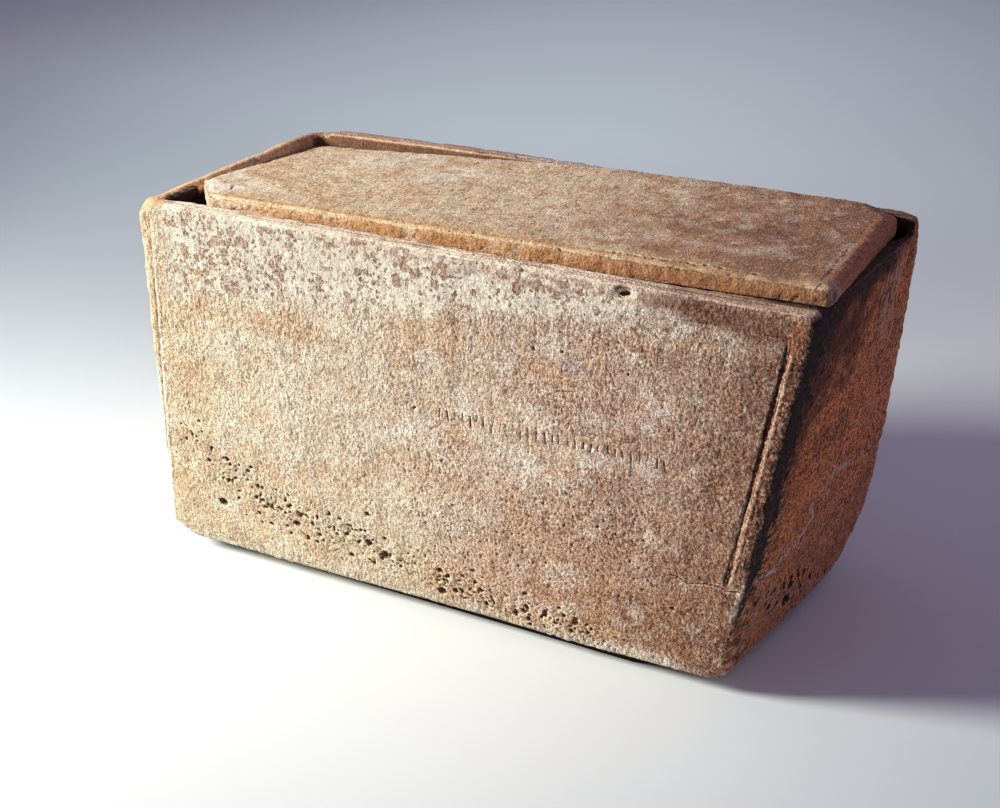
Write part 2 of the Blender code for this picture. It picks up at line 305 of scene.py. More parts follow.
def new_material(name, piece):
    """A piece's new material, as a wire to grow its graph from, and its Principled shader."""
    material = bpy.data.materials.new(name)
    material.use_nodes = True
    piece.data.materials.clear()
    piece.data.materials.append(material)
    return Wire(material.node_tree), material.node_tree.nodes["Principled BSDF"]


def plug(shader, **values):
    """Feed the shader's sockets of the same names."""
    for name, value in values.items():
        feed(shader.inputs[name.replace("_", " ")], value)


def finish_stone(shader, colour, tone, grain, deep, roughness):
    """Dull stone of a colour, times a tone, with a grain as bump."""
    toned = colour.node("ShaderNodeVectorMath", {"operation": "SCALE"}, {0: colour, "Scale": tone})
    bump = grain.node("ShaderNodeBump", None, {"Strength": 1.0, "Distance": deep, "Height": grain})
    plug(shader, Base_Color=toned, Normal=bump, Roughness=roughness, Specular_IOR_Level=0.25)


def position(wire):
    """The place on the stone as a vector and as its three numbers."""
    where = wire.node("ShaderNodeTexCoord", output="Object")
    split = where.node("ShaderNodeSeparateXYZ", None, {0: where})
    return where, *(Wire(wire.tree, split.socket.node.outputs[axis]) for axis in "XYZ")


def cloud(where, size, stretch=(1.0, 1.0, 1.0), detail=2.0, roughness=0.5, twist=0.0):
    """Soft noise from 0 to 1 with lumps of a size in metres, drawn out by stretch."""
    scale = tuple(1.0 / (size * part) for part in stretch)
    scaled = where.node("ShaderNodeVectorMath", {"operation": "MULTIPLY"}, {0: where, 1: scale})
    return where.node("ShaderNodeTexNoise", None,
                      {"Vector": scaled, "Scale": 1.0, "Detail": detail, "Roughness": roughness,
                       "Distortion": twist}, output="Fac")


def kept(wire, name):
    """A number stored at every corner of the mesh."""
    return wire.node("ShaderNodeAttribute", {"attribute_name": name}, output="Fac")


print("shader helpers ready")

# %% [markdown]
# ## Floor and light
# The chest stands on white paper, on a thin pad of dark felt that leaves a dark gap under the front; the
# felt's near-black is painted shade for that gap. One soft lamp low at the left rakes over the front, and a
# dim violet sky fills the shade. The lamp is hooded, so the far paper glows by itself instead, and the paper
# is painted greyer towards the back left and the right as painted shade.

# %% Floor
FLOOR_SIDE = 40.0
FLOOR_DROP = 0.011
BLOCK_LOW = (-0.226, -0.1128)
BLOCK_HIGH = (0.233, 0.09)
BLOCK_TURN = math.radians(-0.75)
BLOCK_TAPER = 0.055
BLOCK_CUT = 0.12
BLOCK_GAP = 0.0002
GLOW_MIDDLE = (-0.75, 1.3)
GLOW_WIDTH = 0.98
GLOW_NEAR = 0.55
GLOW_FAR = 1.75
GLOW = (0.27, 0.325, 0.32)
SIDE_GLOW_MIDDLE = (-1.12, 0.62)
SIDE_GLOW_WIDTH = 0.42
SIDE_GLOW = (0.12, 0.155, 0.15)
# near-black felt: painted shade for the dark gap under the front
GAP_SHADE_FELT = (0.02, 0.016, 0.018)

shape = bmesh.new()
bmesh.ops.create_grid(shape, x_segments=1, y_segments=1, size=FLOOR_SIDE / 2.0)
bmesh.ops.translate(shape, verts=shape.verts, vec=(0.0, 0.0, -FLOOR_DROP))
floor = new_piece("paper_floor", shape)
shape = bmesh.new()
bmesh.ops.create_cube(shape, size=1.0)
bmesh.ops.translate(shape, verts=shape.verts, vec=(0.5, 0.5, -0.5))
bmesh.ops.scale(shape, verts=shape.verts, vec=(BLOCK_HIGH[0] - BLOCK_LOW[0], BLOCK_HIGH[1] - BLOCK_LOW[1],
                                               FLOOR_DROP - BLOCK_GAP))
bmesh.ops.translate(shape, verts=shape.verts, vec=(*BLOCK_LOW, -BLOCK_GAP))
for corner in shape.verts:
    on_right, below, behind = corner.co.x > 0.0, corner.co.z < -FLOOR_DROP / 2.0, corner.co.y > 0.0
    corner.co.x += (-BLOCK_TAPER if on_right else BLOCK_TAPER) * below - BLOCK_CUT * (on_right and behind)
bmesh.ops.rotate(shape, verts=shape.verts, cent=(0.0, 0.0, 0.0), matrix=Matrix.Rotation(BLOCK_TURN, 3, "Z"))
block = new_piece("felt_block", shape)

wire, shader = new_material("white_paper", floor)
_, x, y, _ = position(wire)
aside = (x - GLOW_MIDDLE[0]) / GLOW_WIDTH
beyond = y - GLOW_MIDDLE[1]
beyond = beyond.most(0.0) / GLOW_FAR + beyond.least(0.0) / GLOW_NEAR
glow = wire.maths("EXPONENT", (aside * aside + beyond * beyond) * -1.0)
away_x, away_y = (x - SIDE_GLOW_MIDDLE[0]) / SIDE_GLOW_WIDTH, (y - SIDE_GLOW_MIDDLE[1]) / SIDE_GLOW_WIDTH
side_glow = wire.maths("EXPONENT", (away_x * away_x + away_y * away_y) * -1.0)
white, grey = (0.81, 0.83, 0.8), (0.5, 0.55, 0.57)
# painted shade: the paper greys towards the back left and towards the right, where the lamp's light falls off
painted_falloff = (x * -0.7 + y * 0.71).rise(-0.12, 0.75) * 0.66
sheet = mix(mix(white, grey, painted_falloff), (0.61, 0.69, 0.7), (x - y * 0.25).rise(0.16, 0.66) * 0.85)
near, far = (mix((0.0, 0.0, 0.0), tint, share) for tint, share in ((SIDE_GLOW, side_glow), (GLOW, glow)))
lit = wire.node("ShaderNodeVectorMath", {"operation": "ADD"}, {0: far, 1: near})
plug(shader, Base_Color=sheet, Roughness=0.9, Specular_IOR_Level=0.0, Emission_Color=lit,
     Emission_Strength=1.0)

_, shader = new_material("gap_shade_felt", block)
plug(shader, Base_Color=GAP_SHADE_FELT, Roughness=1.0, Specular_IOR_Level=0.0)
print("floor of", FLOOR_SIDE, "m")

# %% Lamp and sky
LAMP_PLACE = Vector((-1.56, -0.9, 0.9))
LAMP_AIM = Vector((-0.1, -0.12, 0.12))
LAMP_SIDE = 0.62
LAMP_WATTS = 16.6
LAMP_SPREAD = math.radians(84.0)
SKY = (0.217, 0.183, 0.283)

lamp_data = bpy.data.lights.new("hooded_lamp", "AREA")
lamp_data.shape = "DISK"
lamp_data.size = LAMP_SIDE
lamp_data.energy = LAMP_WATTS
lamp_data.spread = LAMP_SPREAD
lamp_data.color = (0.97, 1.0, 0.95)
lamp = bpy.data.objects.new("hooded_lamp", lamp_data)
lamp.location = LAMP_PLACE
lamp.rotation_euler = (LAMP_AIM - LAMP_PLACE).to_track_quat("-Z", "Y").to_euler()
scene.collection.objects.link(lamp)

world = bpy.data.worlds.new("studio")
world.use_nodes = True
feed(world.node_tree.nodes["Background"].inputs["Color"], SKY)
scene.world = world
scene.view_settings.view_transform = "Standard"
print("lamp", round((LAMP_AIM - LAMP_PLACE).length, 2), "m away")

# %% [markdown]
# ## The chest's skin
# A millimetre and a half is about the size of the stone's coarse grain. The remesh rounds thin lines away,
# so the skin is wrapped back on the solid once the front's squares are halved.

# %% Chest skin
ARRIS_FOOT = 0.253
ARRIS_LEAN = 0.194
LINE_TOP = (-0.2464, 0.27)
LINE_LEAN = 0.04
SOFTEN_ROUNDS = 40
FRONT_SKIN = -0.1215
CHEST_GRID = 0.0015


def right_arris(height):
    """How far to the right the front ends, at a height, which may also be a wire."""
    return ARRIS_FOOT + ARRIS_LEAN * height


def left_line(height):
    """How far to the left the scored line lies, at a height."""
    return LINE_TOP[0] - (LINE_TOP[1] - height) * LINE_LEAN


def pit_band(along):
    """The height of the band of old holes on the front."""
    return np.interp(along, (-0.235, -0.15, -0.075, 0.01, 0.15), (0.0975, 0.0525, 0.04, 0.0225, 0.0125))


chest = even_skin("stone_chest", "chest", CHEST_GRID)
refine(chest, corners_of(chest)[:, 1] < FRONT_SKIN)
wrap_on(chest, "chest")
start = corners_of(chest)
x, y, z = start.T
upright = x - z * ARRIS_LEAN
front_ends = np.maximum(step(-x, 0.236, 0.246), step(upright, 0.247, 0.252) * step(z, 0.285, 0.3))
back_corner = step(upright, 0.228, 0.248) * step(y, 0.09, 0.112) * step(z, 0.272, 0.296)
left_rim = step(-x, 0.23, 0.236) * step(z, 0.297, 0.304)
worn = np.maximum.reduce([front_ends * step(-y, 0.08, 0.105), back_corner, left_rim])[:, None]
move_corners(chest, start + worn * (smoothed(chest, SOFTEN_ROUNDS) - start))
print("chest skin:", len(chest.data.polygons), "squares")

# %% [markdown]
# ## What faces where
# The front is grainy, the ends are smoother, the inside is only picked. A soft weight says how far a corner
# belongs to each face, so that one finish fades into the next.


# %% Weights of the chest's faces
LEDGE_HEIGHT = 0.2905
LEDGE_RISE_X = 0.025
LEDGE_RISE_Y = -0.0534


def chest_faces(points, facing):
    x, y, z = points.T
    turn = (0.35, 0.75)
    outer = {
        "front": step(-facing[:, 1], *turn) * (y < -0.1),
        "back": step(facing[:, 1], *turn) * (y > 0.095),
        "right": step(facing[:, 0], *turn) * (x > 0.2),
        "left": step(-facing[:, 0], *turn) * (x < -0.24),
    }
    within = (x > -0.246) & (y > -0.12) & (y < 0.106) & (z > 0.022)
    up = step(facing[:, 2], 0.45, 0.8)
    over_ledge = np.abs(z - LEDGE_HEIGHT - LEDGE_RISE_X * x - LEDGE_RISE_Y * y)
    seat = up * (over_ledge < 0.003) * within * (y < 0.0985)
    rim = up * (z > 0.294) * (1.0 - seat)
    return outer | {
        "rim": rim,
        "foot": step(-facing[:, 2], *turn) * (z < 0.02),
        "inside": np.maximum(seat, within * (facing[:, 2] < 0.9) * (1.0 - sum(outer.values()))
                             * (1.0 - rim)),
    }


places = corners_of(chest)
facing = normals_of(chest)
faces = chest_faces(places, facing)
print({name: int(weight.sum()) for name, weight in faces.items()})

# %% [markdown]
# ## Hollows and scratches
# Holes could be cut one by one with booleans. Here a hole is only a depth at each corner, and the deepest
# wins. A hollow is a steep oval, a scratch a narrow ditch.


# %% Hollow and scratch depths
def hollows(along, across, holes, rim=0.5):
    """Depth at each place of ovals, each (along, across, half length, half height, depth)."""
    order = np.argsort(along)
    keys = along[order]
    depth = np.zeros(len(along))
    for middle_a, middle_b, half_a, half_b, deep in holes:
        first, last = np.searchsorted(keys, (middle_a - half_a * 1.2, middle_a + half_a * 1.2))
        near = order[first:last]
        away = np.hypot((along[near] - middle_a) / half_a, (across[near] - middle_b) / half_b)
        depth[near] = np.maximum(depth[near], deep * (1.0 - step(away, rim, 1.15)))
    return depth


def scratch(along, across, line, width, deep):
    """Depth at each place of a ditch along a line of places."""
    nearest = np.full(len(along), 1.0)
    for start, end in zip(line, line[1:]):
        run = np.subtract(end, start)
        part = np.clip(((along - start[0]) * run[0] + (across - start[1]) * run[1]) / (run @ run), 0.0, 1.0)
        nearest = np.minimum(nearest, np.hypot(along - start[0] - part * run[0],
                                               across - start[1] - part * run[1]))
    return deep * (1.0 - step(nearest, 0.0, width / 2.0))


def ditches(along, across, lines, width, deep):
    return np.maximum.reduce([scratch(along, across, line, width, deep) for line in lines])


def in_metres(rows):
    return [tuple(value / 1000.0 for value in row) for row in rows]


print("cutters ready")

# %% [markdown]
# ## The pitted band
# A seam of dissolved shell runs down the front from the left arris to the foot. Its largest holes are
# listed one by one, in millimetres, and the small ones are drawn from a fixed seed.

# %% Holes of the front
GREAT_HOLES = in_metres([
    (-201, 42, 4.8, 3.2, 4.5), (-54, 67, 3.6, 2.0, 2.5), (-54, 40, 3.4, 3.2, 3.5), (-40, 33, 3.6, 4.4, 3.5),
    (13, 13.5, 4.6, 3.0, 3.5), (12, 32, 3.4, 2.4, 3.0), (-126, 40, 3.0, 2.6, 3.0), (-72, 24, 3.0, 2.0, 2.5),
    (43, 40, 3.0, 1.8, 2.2), (50, 25, 3.0, 2.0, 2.2), (81, 13, 3.0, 2.4, 2.5), (107, 19, 2.4, 3.6, 2.2),
    (133, 20, 2.8, 4.2, 2.2), (-159, 54, 2.6, 1.6, 2), (-150, 50, 1.9, 3.2, 2.2), (-115, 30, 2.1, 1.8, 2.2),
    (-136, 35, 2.2, 1.6, 2), (-105, 28, 2.1, 1.8, 2.2), (-168, 83, 2.6, 1.8, 2), (-172, 79, 2.1, 1.6, 1.8),
    (-189, 65, 2, 1.8, 2), (89, 32, 2.6, 2, 2), (213, 54, 2.1, 1.7, 2.2), (151, 107, 2, 1.7, 2.2),
    (99, 242, 1.6, 1.4, 2.0), (122, 243, 1.5, 1.2, 1.6), (174, 237, 1.7, 1.3, 2.0), (-5, 172, 1.6, 1.4, 1.6),
    (169, 295, 2.4, 1.7, 3.0), (172, 296.5, 2.6, 1.7, 3.0),
])
RING_DEPTH = 0.0011
HOLLOW_RINGS = in_metres([(13, 23, 5.2, 5.0), (-77, 47, 4.6, 4.4), (-171, 279, 3.0, 3.0)])
NESTS = (-0.222, -0.176, -0.15, -0.128, -0.105, -0.074, -0.05, -0.036, 0.01, 0.034, 0.052, 0.084, 0.112,
         0.138)
BAND_HOLES = 760
DIMPLES = 300

dice = np.random.default_rng(11)
along = dice.choice(NESTS, BAND_HOLES) + dice.normal(0.0, 0.015, BAND_HOLES)
spread = dice.normal(0.0, 1.0, BAND_HOLES) * np.interp(along, (-0.236, -0.12, 0.19), (0.013, 0.0095, 0.0062))
size = 0.0005 + 0.0016 * dice.random(BAND_HOLES) ** 3.2
band_holes = [(a, pit_band(a) + s, r * w, r / w, r * 1.5)
              for a, s, r, w in zip(along, spread, size, dice.uniform(0.8, 1.35, BAND_HOLES))]
dimple_along = dice.uniform(-0.02, 0.2, DIMPLES)
dimple_up = dice.uniform(0.045, 0.135, DIMPLES)
dimples = [(a, b, r, r * 1.2, r * 0.55)
           for a, b, r in zip(dimple_along, dimple_up, dice.uniform(0.0008, 0.0015, DIMPLES))]


def front_holes(points):
    x, _, z = points.T
    x = x + 0.0014 * lumps(points, 0.0042, 71)
    z = z + 0.0014 * lumps(points, 0.0042, 72)
    ring = sum(hollows(x, z, [(a, b, w, h, RING_DEPTH)], 0.85)
               - hollows(x, z, [(a, b, w * 0.8, h * 0.8, RING_DEPTH)], 0.7) for a, b, w, h in HOLLOW_RINGS)
    return np.maximum(hollows(x, z, GREAT_HOLES + band_holes), ring)


print(len(GREAT_HOLES) + len(band_holes), "holes and", len(dimples), "dimples")

# %% [markdown]
# ## Cracks and scratches of the front
# A hairline crack runs in from the right arris, and a few shallow scratches lie about the front. The row of
# strokes spells nothing. The solid has them too, and they are cut again here.

# %% Lines of the front
MARKS = 30
MARK_SEED = 1407
MARK_ROW = (0.018, 0.204)
MARK_BASE = 0.166
MARK_WIDTHS = (0.0012, 0.002)
MARK_DEPTHS = (0.001, 0.002)
CRACK = in_metres([(211, 83.5), (217, 82.5), (224, 79.5), (238, 82.5), (250, 83.5), (256, 81.5), (266, 83.5)])
SCRATCHES = [in_metres(line) for line in (
    [(8, 157), (15, 160), (22, 169)],
    [(237, 249), (235, 256), (238, 263), (244, 267)],
    [(252, 236), (249, 242), (251, 248)],
    [(30, 164), (44, 172)],
    [(34, 173), (40, 165)],
    [(118, 212), (131, 214)],
)]


def row_of_marks():
    """Plain slanting strokes that spell nothing, each a foot and a head."""
    chance = random.Random(MARK_SEED)
    stride = (MARK_ROW[1] - MARK_ROW[0]) / (MARKS - 1)
    for number in range(MARKS):
        x = MARK_ROW[0] + stride * (number + chance.uniform(-0.14, 0.14))
        tall = chance.uniform(0.005, 0.0105)
        lean = chance.uniform(-1.0, 1.0) * math.radians(11.0)
        top = MARK_BASE + chance.uniform(0.0085, 0.0115)
        if number % 13 == 12:
            tall, lean = 0.02, 0.0
        yield ((x - 0.5 * tall * math.sin(lean), top - tall * math.cos(lean)),
               (x + 0.5 * tall * math.sin(lean), top))


marks = list(row_of_marks())
wear = random.Random(58)
mark_cuts = [(wear.uniform(*MARK_WIDTHS), wear.uniform(*MARK_DEPTHS)) for _ in marks]


def front_lines(points):
    x, _, z = points.T
    wander = 0.0006 * lumps(points, 0.006, 31)
    depth = np.maximum(scratch(x, z + wander, CRACK, 0.0011, 0.0016),
                       ditches(x, z, SCRATCHES, 0.0018, 0.0006))
    near = np.flatnonzero((x > 0.0) & (x < 0.22) & (z > 0.14) & (z < 0.19))
    for line, cut in zip(marks, mark_cuts):
        depth[near] = np.maximum(depth[near], scratch(x[near] + wander[near], z[near], line, *cut))
    return depth


print(len(SCRATCHES) + 1, "lines")

# %% [markdown]
# ## Weathering the chest
# Relief is summed from coarse to fine: broad waves left by the mason's hand, lumps of a centimetre, then
# the grain. On the front it stands in small upright scales, because water ran down it.


# %% Relief of the outer faces
def scales(points, seed):
    """Upright scaly grain."""
    bent = points + 0.0014 * lumps(points, 0.009, seed)[:, None]
    return waves(bent, (0.0004, (0.0026, 1.0, 0.004), seed + 1), (0.00052, (0.0016, 1.0, 0.002), seed + 2))


def chest_relief(points, faces):
    """Height of the weathered skin over the plain form. It also stores where the pitted seam is."""
    x, _, z = points.T
    front, back, left, right = (faces[name] for name in ("front", "back", "left", "right"))
    height = (front + back + left + right) * waves(points, (0.0008, 0.06, 1), (0.0006, 0.021, 2),
                                                   (0.0005, 0.0095, 3))
    inset = right_arris(z) - x
    calm = (1.0 - 0.35 * step(z, 0.262, 0.28) - 0.3 * step(-x, 0.236, 0.25)
            - 0.5 * window(z, 0.156, 0.18, 0.004) * window(x, 0.006, 0.212, 0.01))
    height += front * calm * scales(points, 4)
    ridge = window(inset, 0.0103, 0.0125, 0.0009) * step(z, 0.07, 0.1) * (1.0 - step(z, 0.268, 0.28))
    height += front * ridge * (0.0006 + 0.0008 * lumps(points, 0.007, 6))
    outside = left_line(z) - x
    height += front * (0.7 + lumps(points, 0.02, 19)) * (0.0007 * window(outside, -0.0012, 0.0012, 0.0008)
                                                         - 0.0006 * window(outside, 0.0018, 0.0034, 0.0008))
    crater = np.exp(-((z - pit_band(x)) / 0.013) ** 2) * step(x, -0.21, -0.15) * (1.0 - step(x, 0.15, 0.2))
    height += front * crater * waves(points, (0.001, 0.0052, 16), (0.0007, 0.0027, 17))
    store(chest, "seam", crater * front)
    height += (back + left) * 0.00045 * lumps(points, 0.007, 8)
    height += right * waves(points, (0.0005, (1.0, 0.0044, 0.007), 11), (0.0004, 0.0032, 18))
    height += faces["rim"] * waves(points, (0.00018, (0.06, 0.0016, 1.0), 12), (0.0002, 0.012, 13))
    return height + faces["inside"] * waves(points, (0.0008, 0.045, 14), (0.0004, 0.019, 15))


height = chest_relief(places, faces)
print("relief from", round(height.min() * 1000, 2), "to", round(height.max() * 1000, 2), "mm")

# %% [markdown]
# ## Worn arrises
# Corners of soft stone crumble first. Where the plain skin stands out, it is taken down by an uneven
# amount, with a deeper bite here and there.

# %% Wear, holes and lines together
GROOVE_GAIN = 0.8
GROOVE_SILT = 1.1
FLAT = 0.00003
NEAR_ROUNDS = 5
WIDE_ROUNDS = 24

x, _, z = places.T
form = bulge(chest, NEAR_ROUNDS)
wide_form = bulge(chest, WIDE_ROUNDS)
arris = step(wide_form, 0.00025, 0.00085)
kept_groove = (faces["front"] * window(right_arris(z) - x, 0.009, 0.0215, 0.0015) * step(z, 0.082, 0.135)
               * (1.0 - step(z, 0.256, 0.284)))
low_end = (x > 0.2) & (z < 0.16)
silted = faces["front"] * (1.0 - kept_groove) * np.where(low_end, 2.6, 1.5)
bites = (0.00045 + 0.0009 * step(lumps(places, 0.009, 21), -0.1, 0.7)
         + 0.0013 * step(lumps(places, 0.031, 22), 0.25, 0.75))
height -= arris * bites * (1.0 - 0.6 * faces["foot"])
height += GROOVE_GAIN * np.minimum(form + FLAT, 0.0) * kept_groove
height -= GROOVE_SILT * np.minimum(wide_form + FLAT, 0.0) * silted
front_depth = front_holes(places)
lines_depth = front_lines(places)
height -= faces["front"] * (np.maximum(front_depth, hollows(x, z, dimples)) + lines_depth)
move_corners(chest, places + facing * height[:, None])
print("deepest hole:", round(front_depth.max() * 1000, 1), "mm")

# %% [markdown]
# ## Holes and cracks of the right end
# The leaning end shows a cluster of holes low down, where the same seam comes through, one long crack and a
# pale vein of hard lime.

# %% Right end
END_HOLES = 230
END_CRACKS = [in_metres(line) for line in (
    [(63, 113), (74, 117), (85, 112), (96, 119), (107, 124)],
    [(-43, 123), (-31, 126)],
    [(-116.8, 60), (-123.7, 290)],
    [(-76, 77), (-58, 80), (-38, 84)],
)]
VEIN = in_metres([(-127, 90), (-76, 77), (-38, 84), (-14, 95), (-26, 109), (12, 125), (40, 118)])

across_end = dice.normal(-0.026, 0.033, END_HOLES)
up_end = 0.036 + dice.normal(0.0, 0.013, END_HOLES) - 0.25 * (across_end + 0.03)
size = 0.0008 + 0.0022 * dice.random(END_HOLES) ** 2.4
end_holes = [(a, b, r, r * w, r * 1.4)
             for a, b, r, w in zip(across_end, up_end, size, dice.uniform(0.8, 1.3, END_HOLES))]


def end_depth(points):
    _, y, z = points.T
    z = z + 0.003 * lumps(points, 0.005, 73)
    depth = np.maximum(hollows(y, z, end_holes), ditches(y, z, END_CRACKS, 0.0018, 0.0012))
    return depth - scratch(y, z, VEIN, 0.006, 0.0005)


end_cut = faces["right"] * end_depth(places)
wavy = places[:, 2] + 0.002 * lumps(places, 0.012, 33)
vein = faces["right"] * scratch(places[:, 1], wavy, VEIN, 0.0085, 1.0)
move_corners(chest, corners_of(chest) - facing * end_cut[:, None])
store(chest, "hole", (faces["front"] * np.maximum(front_depth, lines_depth * 0.9)
                      + np.maximum(end_cut, 0.0)) * 1000.0)
store(chest, "vein", vein)
print(END_HOLES, "holes in the right end")
for name in ("front", "right", "rim", "inside"):
    store(chest, "face_" + name, faces[name])

# %% [markdown]
# ## Fewer triangles where the stone is plain
# Flat walls don't need millimetre squares, and Decimate joins triangles where that changes the form least.
# How far each corner stands out is stored first, for darker hollows and pale peaks, partly dirt and wear and
# partly painted shade and highlight.

# %% Lighten a skin
CHEST_TRIANGLES = 196000
LID_TRIANGLES = 150000


def lighten(piece, triangles):
    """Keep about so many triangles, and store how far each corner stands out, in millimetres."""
    store(piece, "relief_fine", bulge(piece, 3) * 1000.0)
    store(piece, "relief_wide", bulge(piece, 16) * 1000.0)
    modify(piece, "TRIANGULATE", quad_method="SHORTEST_DIAGONAL")
    have = len(piece.data.polygons)
    if have > triangles:
        modify(piece, "DECIMATE", ratio=triangles / have)
    piece.data.shade_smooth()
    print(piece.name, "had", have, "triangles and keeps", len(piece.data.polygons))


lighten(chest, CHEST_TRIANGLES)

# %% [markdown]
# ## The lid's skin
# The slab's top was rubbed along its length, so the grain lies that way. The chamfer is as the pick left
# it, coarse and full of small holes.

# %% Lid
LID_GRID = 0.0014
CHAMFER_HOLES = 420
LID_FRONT_TOP = (0.308, 0.318)

WHITE_SCRATCHES = [in_metres(line) for line in (
    [(112, 52), (122, 55), (133, 49)], [(70, -86), (84, -92), (92, -88)], [(56, -94), (66, -100)],
    [(128, 30), (150, 38)],
)]

lid = even_skin("stone_lid", "lid", LID_GRID)
wrap_on(lid, "lid")
places = corners_of(lid)
facing = normals_of(lid)
lid_low, lid_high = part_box("lid")

dice = np.random.default_rng(23)
hole_along = dice.uniform(lid_low.x + 0.03, lid_high.x - 0.01, CHAMFER_HOLES)
hole_across = dice.uniform(-0.02, 0.013, CHAMFER_HOLES)
size = 0.0004 + 0.0009 * dice.random(CHAMFER_HOLES) ** 2.5
chamfer_holes = [(a, b, r * 1.2, r, r * 1.1) for a, b, r in zip(hole_along, hole_across, size)]
row_along = np.arange(0.146, 0.262, 0.0042)
row = [(a, 0.0105 + 0.0006 * math.sin(a * 900.0), 0.0022, 0.0008, 0.0014 + 0.0008 * math.sin(a * 500.0))
       for a in row_along + dice.uniform(-0.0012, 0.0012, len(row_along))]


def edge_holes(points):
    """Depth of the front edge's holes, laid out on the chamfer and the face below as on one strip."""
    x, y, z = points.T
    strip = (y - lid_low.y) + (z - np.interp(x, (-0.243, 0.313), LID_FRONT_TOP))
    strip += 0.0022 * lumps(points, 0.004, 74)
    return hollows(x, strip, chamfer_holes + row) * (y < lid_low.y + 0.016)


top = step(facing[:, 2], 0.72, 0.9)
under = step(-facing[:, 2], 0.5, 0.9)
rough = 1.0 - np.maximum(top, under)
rubbed = waves(places, (0.0009, 0.048, 41), (0.0006, 0.017, 42), (0.00032, (0.006, 0.0075, 1.0), 43),
               (0.00022, (0.0028, 0.0036, 1.0), 44))
picked = waves(places, (0.0008, 0.0062, 45), (0.0005, 0.0028, 46), (0.0008, 0.02, 47))
holes = edge_holes(places) * (1.0 - under)
height = top * rubbed + rough * picked - under * 0.0003 * np.abs(lumps(places, 0.014, 48)) - holes
arris = step(bulge(lid, 14), 0.00016, 0.0007) * (1.0 - under)
height -= arris * (0.0003 + 0.0008 * step(lumps(places, 0.008, 51), -0.1, 0.7)
                   + 0.0009 * step(lumps(places, 0.027, 52), 0.3, 0.75))
move_corners(lid, places + facing * height[:, None])
store(lid, "face_top", top)
store(lid, "face_under", under)
store(lid, "hole", holes * 1000.0)
scratched = sum(scratch(places[:, 0], places[:, 1], line, 0.0022, 1.0) for line in WHITE_SCRATCHES)
store(lid, "scratch", scratched * top * step(lumps(places, 0.004, 61), -0.3, 0.3))
lighten(lid, LID_TRIANGLES)

# %% [markdown]
# ## The chest's stone
# The colour is built as the dirt was, in coats: a ground from cream to brown, a crust of lime that flaked,
# ochre and soot, and dust on the peaks, with painted shade and highlight on some gaps, grooves and hollows.
# Each coat is a colour with a mask, which reads the place on the stone or a number stored on the mesh.

# %% Ground colours
CREAM = (0.585, 0.49, 0.36)
OCHRE_CREAM = (0.56, 0.435, 0.275)
PINK_BUFF = (0.545, 0.41, 0.3)
DUN = (0.45, 0.3, 0.215)
UMBER = (0.22, 0.112, 0.068)
TAN = (0.49, 0.275, 0.14)
LIME_CRUST = (0.6, 0.535, 0.415)
WHITE_LIME = (0.72, 0.67, 0.57)
FLAKED = (0.3, 0.19, 0.135)
TERRACOTTA = (0.92, 0.275, 0.085)
BURNT = (0.2, 0.068, 0.034)
SOOT_AND_SHADE = (0.022, 0.012, 0.009)
HOLE_DIRT_AND_SHADE = (0.13, 0.056, 0.026)
HOLLOW_DIRT_AND_SHADE_TINT = (0.43, 0.285, 0.205)

wire, shader = new_material("chest_stone", chest)
where, x, y, z = position(wire)
front, right, rim, inside = (kept(wire, "face_" + name) for name in ("front", "right", "rim", "inside"))
fine, wide, hole, seam = (kept(wire, name) for name in ("relief_fine", "relief_wide", "hole", "seam"))
drift = cloud(where, 0.09, detail=3.0) - 0.5
blotch = cloud(where, 0.022, detail=4.0, roughness=0.6)
patchy = blotch - 0.5
fleck = cloud(where, 0.0048, detail=3.0, roughness=0.6)
flecky = fleck - 0.5
near_front = y.fall(-0.1, 0.02)
warm = cloud(where, 0.034, detail=4.0, roughness=0.62)
grit = cloud(where, 0.0013, roughness=0.6)
scale = cloud(where, 0.0026, stretch=(1.0, 1.0, 1.4), roughness=0.55, twist=0.1)
coarse = cloud(where, 0.045).rise(0.4, 0.6)
streak = cloud(where, 0.0042, stretch=(1.0, 1.0, 4.0), detail=3.0)

across = (x + 0.26) / 0.57 + drift * 0.55
ground = across.node("ShaderNodeValToRGB", {"stops": (
    (0.05, OCHRE_CREAM), (0.3, CREAM), (0.55, PINK_BUFF), (0.76, DUN), (0.98, UMBER))}, {0: across})
ground = coats(ground, [
    (OCHRE_CREAM, z.fall(0.03, 0.15) * x.fall(-0.05, 0.06) * 0.55),
    ((0.4, 0.215, 0.118), z.fall(0.02, 0.16) * x.rise(-0.03, 0.12) * 0.68),
    ((0.24, 0.112, 0.062), z.fall(0.03, 0.15) * x.rise(0.1, 0.22) * 0.72),
    (TAN, warm.rise(0.5, 0.64) * 0.42),
    ((0.66, 0.585, 0.47), warm.fall(0.36, 0.48) * 0.5),
    (UMBER, blotch.rise(0.5, 0.72) * 0.34),
    (CREAM, blotch.fall(0.3, 0.46) * 0.34),
    ((0.5, 0.335, 0.16), seam * blotch.rise(0.36, 0.6) * 0.55),
])
print("ground colours laid")

# %% [markdown]
# The crust of lime lies under the rim and thins out to the right. Round spots have fallen off it and show
# the brown skin below.

